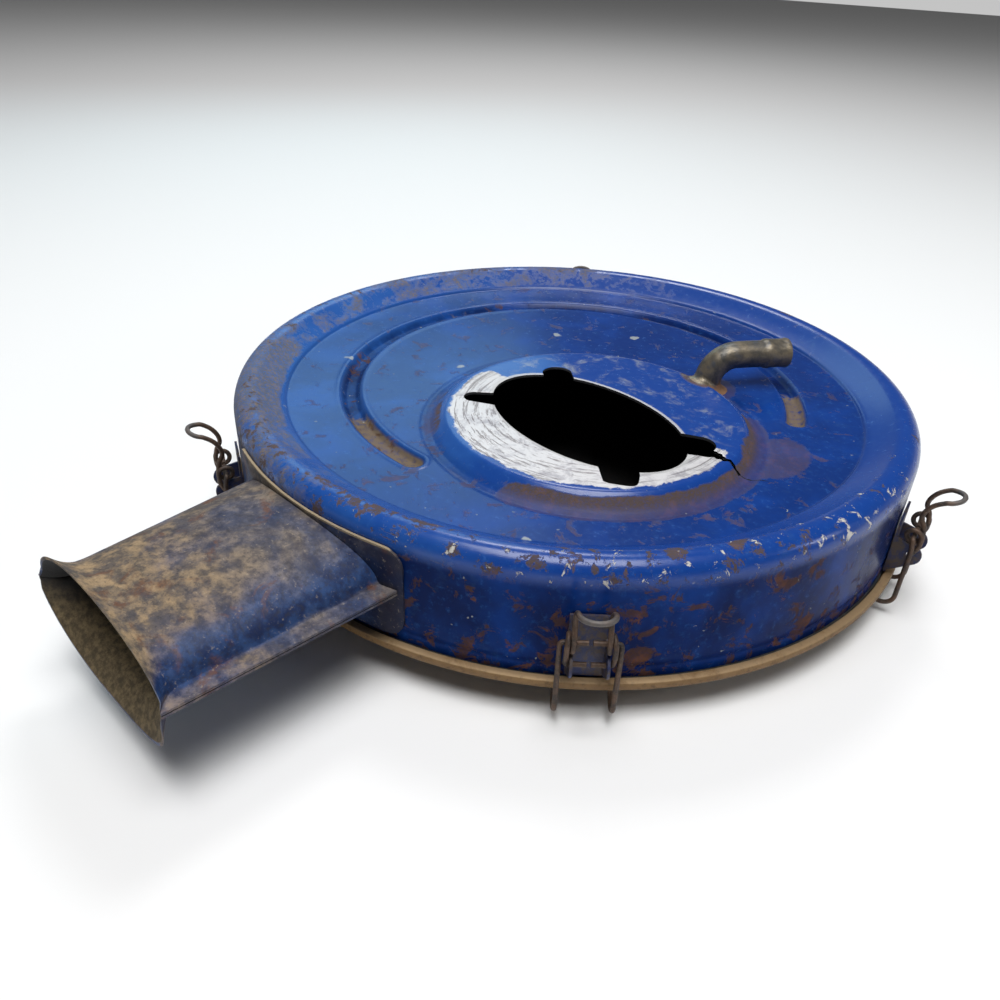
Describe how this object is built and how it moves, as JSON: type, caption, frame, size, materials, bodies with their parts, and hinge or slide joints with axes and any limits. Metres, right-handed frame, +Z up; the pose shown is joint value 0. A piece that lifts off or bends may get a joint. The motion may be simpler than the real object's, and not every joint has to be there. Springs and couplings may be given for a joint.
{
  "type": "engine air cleaner housing",
  "caption": "Round pressed-steel engine air cleaner with an oval carburettor opening, intake snorkel, breather tube and wire latches.",
  "frame": {"origin": "on the canister axis, in the plane the cover rests on", "axes": "+Z up through the carburettor opening along the canister axis; the intake snorkel points along -Y; +X completes a right-handed frame"},
  "size_m": [0.342, 0.4069, 0.0812],
  "materials": {
    "housing_paint": "worn, dull blue paint",
    "snorkel_paint": "worn blue paint under brown dirt",
    "cover_metal": "rust-stained, worn to a dull ochre edge",
    "tube_steel": "dull, rust-spotted",
    "bracket_steel": "dark, dirty",
    "latch_wire": "dark, rusty",
    "gasket_rubber": "matte",
    "seal_rubber": "matte",
    "filter_paper": "matte resin-dipped paper",
    "screen_steel": "dull zinc"
  },
  "bodies": {
    "root": {"canister_shell": "housing_paint", "breather_tube": "tube_steel", "snorkel_upper_shell": "snorkel_paint", "snorkel_lower_shell": "snorkel_paint", "snorkel_saddle_plate": "snorkel_paint", "cover_lid": "cover_metal", "cover_gasket": "gasket_rubber", "element_top_seal": "seal_rubber", "element_bottom_seal": "seal_rubber", "element_pleated_paper": "filter_paper", "element_inner_screen": "screen_steel", "element_outer_screen": "screen_steel", "latch_front_bracket": "bracket_steel", "latch_right_bracket": "bracket_steel", "latch_left_bracket": "bracket_steel", "latch_back_bracket": "bracket_steel"},
    "front_lever": {"latch_front_lever": "latch_wire"},
    "front_hook": {"latch_front_hook": "latch_wire"},
    "right_lever": {"latch_right_lever": "latch_wire"},
    "right_hook": {"latch_right_hook": "latch_wire"},
    "left_lever": {"latch_left_lever": "latch_wire"},
    "left_hook": {"latch_left_hook": "latch_wire"},
    "back_lever": {"latch_back_lever": "latch_wire"},
    "back_hook": {"latch_back_hook": "latch_wire"}
  },
  "joints": [
    {"name": "front_lever_hinge", "type": "hinge", "parent": "root", "child": "front_lever", "pos_m": [0.11564, -0.12186, 0.0295], "axis": [0.7254, 0.6884, 0], "range_deg": [0, 120]},
    {"name": "front_hook_hinge", "type": "hinge", "parent": "front_lever", "child": "front_hook", "pos_m": [0.1153, -0.1215, 0.039], "axis": [0.7254, 0.6884, 0], "range_deg": [-180, 0]},
    {"name": "right_lever_hinge", "type": "hinge", "parent": "root", "child": "right_lever", "pos_m": [0.16463, 0.03349, 0.0295], "axis": [-0.1994, 0.9799, 0], "range_deg": [0, 120]},
    {"name": "right_hook_hinge", "type": "hinge", "parent": "right_lever", "child": "right_hook", "pos_m": [0.16414, 0.03339, 0.039], "axis": [-0.1994, 0.9799, 0], "range_deg": [-180, 0]},
    {"name": "left_lever_hinge", "type": "hinge", "parent": "root", "child": "left_lever", "pos_m": [-0.071, -0.15226, 0.0295], "axis": [0.9063, -0.4226, 0], "range_deg": [0, 120]},
    {"name": "left_hook_hinge", "type": "hinge", "parent": "left_lever", "child": "left_hook", "pos_m": [-0.07079, -0.15181, 0.039], "axis": [0.9063, -0.4226, 0], "range_deg": [-180, 0]},
    {"name": "back_lever_hinge", "type": "hinge", "parent": "root", "child": "back_lever", "pos_m": [-0.10458, 0.13148, 0.0295], "axis": [-0.7826, -0.6225, 0], "range_deg": [0, 120]},
    {"name": "back_hook_hinge", "type": "hinge", "parent": "back_lever", "child": "back_hook", "pos_m": [-0.10427, 0.13109, 0.039], "axis": [-0.7826, -0.6225, 0], "range_deg": [-180, 0]}
  ],
  "couplings": [
    {"joint": "front_hook_hinge", "follows": "front_lever_hinge", "ratio": -1.5},
    {"joint": "right_hook_hinge", "follows": "right_lever_hinge", "ratio": -1.5},
    {"joint": "left_hook_hinge", "follows": "left_lever_hinge", "ratio": -1.5},
    {"joint": "back_hook_hinge", "follows": "back_lever_hinge", "ratio": -1.5}
  ]
}
